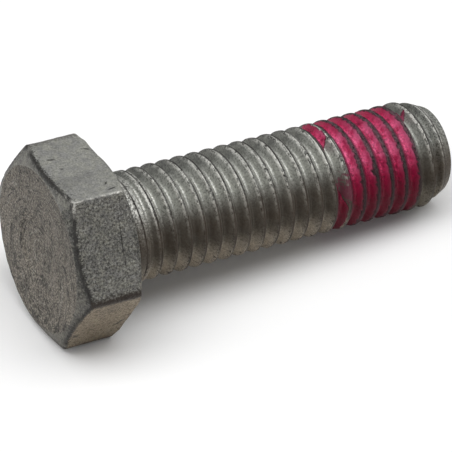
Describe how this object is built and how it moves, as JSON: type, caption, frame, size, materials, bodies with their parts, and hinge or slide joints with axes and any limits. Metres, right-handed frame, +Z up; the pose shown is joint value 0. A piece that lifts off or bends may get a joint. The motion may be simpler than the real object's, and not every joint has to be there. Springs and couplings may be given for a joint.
{
  "type": "hexagon head screw",
  "caption": "Hexagon-head screw with a washer face, a coarse thread along the whole shank, a chamfered point and a dried locking patch in the thread near the point.",
  "frame": {"origin": "middle of the footprint at floor level, where the screw lies on the bearing-side edge of one head flat and on its thread near the point", "axes": "+X along the screw from the head towards the point, seen from above; the screw's own axis dips below +X by about 5.5 degrees, because the shank is thinner than the head; +Y to the side; +Z up"},
  "size_m": [0.0486, 0.0216, 0.0195],
  "materials": {
    "zinc_flake_coat": "dull grey zinc-flake coat over forged and rolled steel, grainy on the head, worn brighter on the thread crests",
    "locking_film": "dried crimson thread-locking film with a soft gloss"
  },
  "bodies": {
    "root": {"screw": "zinc_flake_coat", "locking_patch": "locking_film"}
  },
  "joints": []
}
